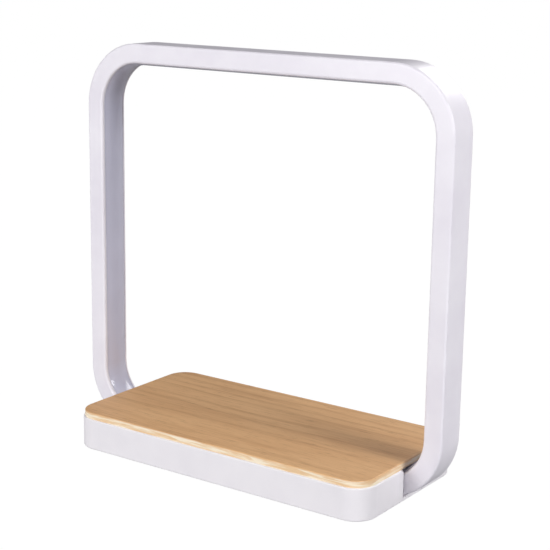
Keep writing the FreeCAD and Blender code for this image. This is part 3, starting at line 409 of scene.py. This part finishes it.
def boxes_in(node):
    """The middle and the three sides of each box in a CAD node, longest side first."""
    shape = bmesh.new()
    shape.from_mesh(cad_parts[node].data)
    bmesh.ops.remove_doubles(shape, verts=shape.verts[:], dist=1e-6)
    bmesh.ops.dissolve_limit(shape, angle_limit=0.01, verts=shape.verts[:], edges=shape.edges[:])
    found = []
    seen = set()
    for first in shape.verts:
        if first in seen:
            continue
        seen.add(first)
        box = [first]
        for vertex in box:
            for edge in vertex.link_edges:
                other = edge.other_vert(vertex)
                if other not in seen:
                    seen.add(other)
                    box.append(other)
        middle = sum((vertex.co for vertex in box), Vector()) / len(box)
        sides = [edge.other_vert(first).co - first.co for edge in first.link_edges]
        sides.sort(key=lambda side: -side.length)
        found.append((middle, sides))
    shape.free()
    return found


def upright_seat(x, y, z):
    """A seat at a place in metres, with the frame's own axes."""
    return Matrix.Translation((x, y, z)) @ Matrix.Scale(MM, 4)


def seat_on(node):
    """A seat below the middle of a node, and the node's size in millimetres."""
    low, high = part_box(node)
    return upright_seat((low.x + high.x) / 2, (low.y + high.y) / 2, low.z), (high - low) / MM


def upright_seats(node):
    """For each box in a node: a seat below its middle, and its three sizes in millimetres."""
    for middle, sides in boxes_in(node):
        length, width, height = (side.length / MM for side in sides)
        yield upright_seat(middle.x, middle.y, middle.z - height * MM / 2), (length, width, height)


def span(side, first, second):
    """Two distances from the middle, to one side of it (-1 or 1), lowest first."""
    return sorted((side * first, side * second))


def row(count, pitch):
    """Places in a row about the middle."""
    return [(number - (count - 1) / 2) * pitch for number in range(count)]


def rounded_outline(x, y, z, corner, inset=0.0):
    """Points around a rectangle of half sizes x and y with round corners, drawn in by the inset."""
    points = []
    reach = corner - inset
    for side_x, side_y, start in ((1, 1, 0), (-1, 1, 90), (-1, -1, 180), (1, -1, 270)):
        for step in range(CORNER_STEPS + 1):
            angle = math.radians(start + 90 * step / CORNER_STEPS)
            points.append((
                side_x * (x - corner) + reach * math.cos(angle),
                side_y * (y - corner) + reach * math.sin(angle),
                z,
            ))
    return points


def add_dot(chip, seat, place, radius, crown_radius):
    """A low moulded dot on a chip, which marks its first lead."""
    profile = [(0, -0.02), (radius, -0.02), (radius, 0.004), (crown_radius, 0.008), (0, 0.006)]
    chip.lathe(seat @ Matrix.Translation(place), profile, look="dot", steps=20)


# ---- New pieces ----


def add_winding():
    """The charging coil: one layer of stranded enamelled wire, wound from the middle outwards."""
    turns, steps_a_turn, bore_radius, play = 11, 80, 10.0, 0.04
    seat, size = seat_on("charging_coil")
    wire_radius = size.z / 2 - play
    inner, outer = bore_radius + wire_radius, size.x / 2 - wire_radius
    points = []
    for step in range(turns * steps_a_turn + 1):
        angle = 2 * math.pi * step / steps_a_turn + math.pi / 2
        radius = inner + (outer - inner) * step / (turns * steps_a_turn)
        points.append(Vector((radius * math.cos(angle), radius * math.sin(angle), size.z / 2)))
    winding = Piece("coil_winding", "enamel")
    winding.wire(seat, points, wire_radius)
    winding.finish("charging_coil")


def add_led_packages():
    """Each diode: a white frame, a yellow phosphor window and a terminal at each end.

    The diodes face the middle of the loop.
    """
    frame_end, frame_bottom, frame_top = 0.25, 0.05, 0.04
    window_end, window_side, window_depth = 0.55, 0.35, 0.2
    terminal_length, terminal_side, terminal_height = 0.5, 0.5, 0.3
    packages = Piece("led_packages", "led_white", "phosphor", "tin")
    centre = sum(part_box("loop_frame"), Vector()) / 2
    for middle, (along, across, up) in boxes_in("led_chips"):
        length, width, height = (side.length / MM for side in (along, across, up))
        if up.dot(centre - middle) < 0:
            up = -up
        x_axis, z_axis = along.normalized(), up.normalized()
        y_axis = z_axis.cross(x_axis)
        axes = Matrix((x_axis, y_axis, z_axis)).transposed().to_4x4()
        seat = Matrix.Translation(middle - z_axis * height * MM / 2) @ axes @ Matrix.Scale(MM, 4)
        x, y = length / 2, width / 2
        packages.block(
            seat, (frame_end - x, -y, frame_bottom), (x - frame_end, y, height - frame_top), edge=0.08)
        packages.block(
            seat, (window_end - x, window_side - y, height - window_depth),
            (x - window_end, y - window_side, height), edge=0.05, look="phosphor")
        for side in BOTH_SIDES:
            low, high = span(side, x, x - terminal_length)
            packages.block(
                seat, (low, terminal_side - y, 0), (high, y - terminal_side, terminal_height),
                edge=0.04, look="tin", segments=1)
    packages.finish("led_chips")


def add_charger_chip():
    """A flat leadless package with solder lands along its sides and a moulded dot at one corner."""
    lands_a_side, pitch, dot_inset = 6, 0.65, 0.9
    land_length, land_half_width, land_height = 0.45, 0.16, 0.26
    inset, body_bottom = 0.05, 0.06
    seat, size = seat_on("charger_chip")
    chip = Piece("charger_package", "chip", "tin", "dot")
    x, y = size.x / 2, size.y / 2
    chip.block(seat, (inset - x, inset - y, body_bottom), (x - inset, y - inset, size.z), edge=0.07)
    for at in row(lands_a_side, pitch):
        start, end = at - land_half_width, at + land_half_width
        for side in BOTH_SIDES:
            low, high = span(side, x, x - land_length)
            chip.block(seat, (low, start, 0), (high, end, land_height), edge=0.03, look="tin", segments=1)
            low, high = span(side, y, y - land_length)
            chip.block(seat, (start, low, 0), (end, high, land_height), edge=0.03, look="tin", segments=1)
    add_dot(chip, seat, (dot_inset - x, y - dot_inset, size.z), 0.32, 0.27)
    chip.finish("charger_chip")


def add_driver_chip():
    """An eight-legged package: a moulded body and bent legs."""
    legs_a_side, pitch, dot_inset = 4, 1.27, 0.85
    leg_half_width, leg_reach, body_end, body_bottom = 0.2, 1.0, 0.06, 0.15
    seat, size = seat_on("light_driver_chip")
    chip = Piece("driver_package", "chip", "tin", "dot")
    x, y = size.x / 2, size.y / 2
    body_y = y - leg_reach
    leg = (  # shoulder, shank and foot: from and to in Y, then in Z
        (body_y - 0.1, body_y + 0.36, 0.72, 0.92),
        (body_y + 0.22, body_y + 0.42, 0.06, 0.92),
        (body_y + 0.26, y, 0.0, 0.2),
    )
    chip.block(
        seat, (body_end - x, -body_y, body_bottom), (x - body_end, body_y, size.z), edge=0.16, segments=3)
    for at in row(legs_a_side, pitch):
        for side in BOTH_SIDES:
            for inner, outer, bottom, top in leg:
                low, high = span(side, inner, outer)
                chip.block(
                    seat, (at - leg_half_width, low, bottom), (at + leg_half_width, high, top),
                    edge=0.05, look="tin")
    add_dot(chip, seat, (dot_inset - x, dot_inset - body_y, size.z), 0.36, 0.3)
    chip.finish("light_driver_chip")


def add_inductors():
    """Moulded power inductors: pressed bodies, a raised disc and a terminal at each end."""
    end_gap, side_gap, body_bottom = 0.12, 0.05, 0.1
    disc_radius, disc_edge, disc_rise, disc_root = 2.6, 0.2, 0.1, 0.2
    terminal_half_width, terminal_thickness, terminal_foot = 1.5, 0.2, 1.6
    inductors = Piece("moulded_inductors", "ferrite", "tin")
    for seat, (length, width, height) in upright_seats("power_inductors"):
        x, y = length / 2, width / 2
        body_top = height - disc_rise
        inductors.block(
            seat, (end_gap - x, side_gap - y, body_bottom), (x - end_gap, y - side_gap, body_top),
            edge=0.35, segments=3)
        inductors.lathe(seat, [
            (0, body_top - disc_root), (disc_radius, body_top - disc_root), (disc_radius, height - 0.06),
            (disc_radius - disc_edge, height), (0, height),
        ])
        for side in BOTH_SIDES:
            for reach, top in ((terminal_thickness, height * 0.55), (terminal_foot, terminal_thickness)):
                low, high = span(side, x, x - reach)
                inductors.block(
                    seat, (low, -terminal_half_width, 0), (high, terminal_half_width, top),
                    edge=0.06, look="tin")
    inductors.finish("power_inductors")


def add_capacitors():
    """Ceramic chip capacitors: brown bodies between wrapped metal ends."""
    end_length, skin, body_end = 0.55, 0.04, 0.2
    capacitors = Piece("ceramic_capacitors", "ceramic", "tin")
    for seat, (length, width, height) in upright_seats("resonant_capacitors"):
        x, y = length / 2, width / 2
        capacitors.block(
            seat, (body_end - x, skin - y, skin), (x - body_end, y - skin, height - skin), edge=0.06)
        for side in BOTH_SIDES:
            low, high = span(side, x, x - end_length)
            capacitors.block(seat, (low, -y, 0), (high, y, height), edge=0.12, look="tin", segments=3)
    capacitors.finish("resonant_capacitors")


def add_can_capacitor():
    """The surface-mounted can: a black foot with a tab at each side, a crimped can and a mark."""
    foot_bottom, foot_top = 0.1, 0.9
    tab_from, tab_past, tab_half_width, tab_height = 0.6, 0.1, 0.35, 0.14
    mark_from, mark_to, mark_inset = 130, 230, 0.4
    seat, size = seat_on("bulk_capacitor")
    can = Piece("can_capacitor", "can", "chip", "tin", "mark")
    radius, height = size.x / 2, size.z
    body, foot = radius - 0.05, radius - 0.1
    neck = body - 0.22
    can.block(seat, (-foot, -foot, foot_bottom), (foot, foot, foot_top), edge=0.2, look="chip")
    for side in BOTH_SIDES:
        low, high = span(side, tab_from, radius + tab_past)
        can.block(
            seat, (low, -tab_half_width, 0), (high, tab_half_width, tab_height), edge=0.04, look="tin")
    can.lathe(seat, [
        (0, 0.7), (body - 0.1, 0.7), (body, 0.85), (body, 1.25), (neck, 1.45), (neck, 1.6),
        (body, 1.8), (body, height - 0.35), (body - 0.1, height - 0.1), (body - 0.35, height), (0, height),
    ], steps=56)
    reach = body - mark_inset
    arc = [math.radians(angle) for angle in range(mark_from, mark_to + 1, 10)]
    can.skin(seat, [
        [(reach * math.cos(a), reach * math.sin(a), level) for a in arc]
        for level in (height - 0.008, height + 0.002)
    ], look="mark")
    can.finish("bulk_capacitor")


def add_socket_tongue():
    """The socket's tongue, with contacts let into both faces and a steel mid-plate at its edges."""
    contacts, pitch, contact_half_width, contact_depth = 12, 0.5, 0.14, 0.08
    long_contacts, long_tip, short_tip, root = (0, 3, 8, 11), 0.35, 0.75, 0.1
    face_depth, plate_half, plate_tip = 0.03, 0.08, 0.5
    seat, size = seat_on("socket_tongue")
    tongue = Piece("contact_tongue", "chip", "gold", "socket")
    x, y, height = size.x / 2, size.y / 2, size.z
    tongue.block(seat, (-x, -y, face_depth), (x, y, height - face_depth), edge=0.16)
    tongue.block(
        seat, (-x, -y, height / 2 - plate_half), (x, y - plate_tip, height / 2 + plate_half),
        edge=0.04, look="socket")
    for number, at in enumerate(row(contacts, pitch)):
        tip = y - (long_tip if number in long_contacts else short_tip)
        for bottom, top in ((0, contact_depth), (height - contact_depth, height)):
            tongue.block(
                seat, (at - contact_half_width, root - y, bottom), (at + contact_half_width, tip, top),
                edge=0.02, look="gold", segments=1)
    tongue.finish("socket_tongue")


def add_electrode():
    """The touch pad: thin copper with rounded corners and a soldered joint for its lead."""
    corner, solder_x = 1.5, 8.5
    seat, size = seat_on("touch_electrode")
    pad = Piece("touch_pad", "copper", "tin")
    x, y = size.x / 2, size.y / 2
    pad.skin(seat, [rounded_outline(x, y, level, corner) for level in (0, size.z)])
    solder = seat @ Matrix.Translation((solder_x, 0, 0.02))
    joint = [(0, -0.22), (0.7, -0.16), (1.1, -0.04), (1.2, 0.02), (0, 0.03)]
    pad.lathe(solder, joint, look="tin", steps=24)
    pad.finish("touch_electrode")


def add_ballast(side):
    """A stamped steel weight with rounded corners and edges."""
    corner, edge = 2.5, 0.35
    node = f"ballast_plate_{side}"
    seat, size = seat_on(node)
    levels = (
        (edge, 0), (edge * 0.3, edge * 0.3), (0, edge),
        (0, size.z - edge), (edge * 0.3, size.z - edge * 0.3), (edge, size.z),
    )
    plate = Piece(f"stamped_weight_{side}", "zinc")
    plate.skin(seat, [
        rounded_outline(size.x / 2, size.y / 2, level, corner, inset) for inset, level in levels
    ])
    plate.finish(node)


add_winding()
add_led_packages()
add_charger_chip()
add_driver_chip()
add_inductors()
add_capacitors()
add_can_capacitor()
add_socket_tongue()
add_electrode()
for side in ("front", "rear_left", "rear_right"):
    add_ballast(side)


# ---- The stage: floor, light and camera ----

LIGHT_TARGET = Vector((0, 0, 0.1))       # the loop's middle
CAMERA_PLACE = (0.4247, -0.5989, 0.2776)
CAMERA_AZIMUTH = 34.89                   # degrees round to the object's right
CAMERA_PITCH = 13.34                     # degrees down
CAMERA_ROLL = 0.85                       # degrees
CAMERA_LENS = 93.1                       # millimetres, on a 36 mm sensor


def add_floor():
    """A wide pale floor. It looks white, but throws back only soft light, as a studio sweep does."""
    half, glow_level, glow_share = 6.0, 1.03, 0.97
    corners = [(-half, -half, 0), (half, -half, 0), (half, half, 0), (-half, half, 0)]
    mesh = bpy.data.meshes.new("floor")
    mesh.from_pydata(corners, [], [(0, 1, 2, 3)])
    floor = bpy.data.objects.new("floor", mesh)
    bpy.context.collection.objects.link(floor)
    look = Look("pale_floor", roughness=0.9)
    look.colour(look.blend(look.noise(look.at(), 3, 2), srgb(166, 166, 168), srgb(170, 170, 172)))
    paths = look.tree.nodes.new("ShaderNodeLightPath")
    glow = look.tree.nodes.new("ShaderNodeEmission")
    glow.inputs["Strength"].default_value = glow_level
    both = look.tree.nodes.new("ShaderNodeMixShader")
    look.feed(both.inputs[0], look.times(paths.outputs["Is Camera Ray"], glow_share))
    look.feed(both.inputs[1], look.shader.outputs[0])
    look.feed(both.inputs[2], glow.outputs[0])
    look.feed(look.tree.nodes["Material Output"].inputs["Surface"], both.outputs[0])
    mesh.materials.append(look.material)


def add_world():
    """A dim, slightly violet surround that looks white behind the object."""
    world = bpy.data.worlds.new("studio")
    bpy.context.scene.world = world
    world.use_nodes = True
    tree = world.node_tree
    surround = tree.nodes["Background"]
    surround.inputs["Color"].default_value = srgb(232, 229, 240)
    surround.inputs["Strength"].default_value = 0.18
    white = tree.nodes.new("ShaderNodeBackground")
    white.inputs["Color"].default_value = (1, 1, 1, 1)
    paths = tree.nodes.new("ShaderNodeLightPath")
    both = tree.nodes.new("ShaderNodeMixShader")
    tree.links.new(paths.outputs["Is Camera Ray"], both.inputs[0])
    tree.links.new(surround.outputs[0], both.inputs[1])
    tree.links.new(white.outputs[0], both.inputs[2])
    tree.links.new(both.outputs[0], tree.nodes["World Output"].inputs["Surface"])


def add_softbox(name, azimuth, elevation, distance, size, level):
    """A square light aimed at the loop's middle.

    azimuth is 0 in front and 90 at the object's right. level is how bright the light makes a white
    card that faces it.
    """
    turn, rise = math.radians(azimuth), math.radians(elevation)
    way = Vector((math.sin(turn) * math.cos(rise), -math.cos(turn) * math.cos(rise), math.sin(rise)))
    light = bpy.data.lights.new(name, "AREA")
    light.shape = "SQUARE"
    light.size = size
    light.energy = level * math.pi**2 * distance**2
    box = bpy.data.objects.new(name, light)
    bpy.context.collection.objects.link(box)
    box.location = LIGHT_TARGET + way * distance
    box.rotation_euler = way.to_track_quat("Z", "Y").to_euler()


def add_camera():
    """The camera, where the photographer stood."""
    camera = bpy.data.cameras.new("camera")
    camera.sensor_width = 36.0
    camera.lens = CAMERA_LENS
    camera.clip_start = 0.01
    camera.clip_end = 20.0
    holder = bpy.data.objects.new("camera", camera)
    bpy.context.collection.objects.link(holder)
    azimuth, pitch, roll = (math.radians(a) for a in (CAMERA_AZIMUTH, CAMERA_PITCH, CAMERA_ROLL))
    level = Vector((math.cos(azimuth), math.sin(azimuth), 0))
    ahead = UP.cross(level) * math.cos(pitch) - UP * math.sin(pitch)
    upright = level.cross(ahead)
    across = level * math.cos(roll) + upright * math.sin(roll)
    above = upright * math.cos(roll) - level * math.sin(roll)
    turned = Matrix((across, above, -ahead)).transposed().to_4x4()
    holder.matrix_world = Matrix.Translation(CAMERA_PLACE) @ turned
    bpy.context.scene.camera = holder


add_floor()
add_world()
add_softbox("front_softbox", azimuth=-16, elevation=11, distance=1.8, size=0.9, level=0.73)
add_softbox("right_softbox", azimuth=86, elevation=26, distance=1.5, size=0.5, level=0.63)
add_softbox("rear_fill", azimuth=178, elevation=30, distance=1.6, size=0.9, level=0.36)
add_camera()
scene = bpy.context.scene
scene.view_settings.view_transform = "Standard"
scene.view_settings.look = "None"
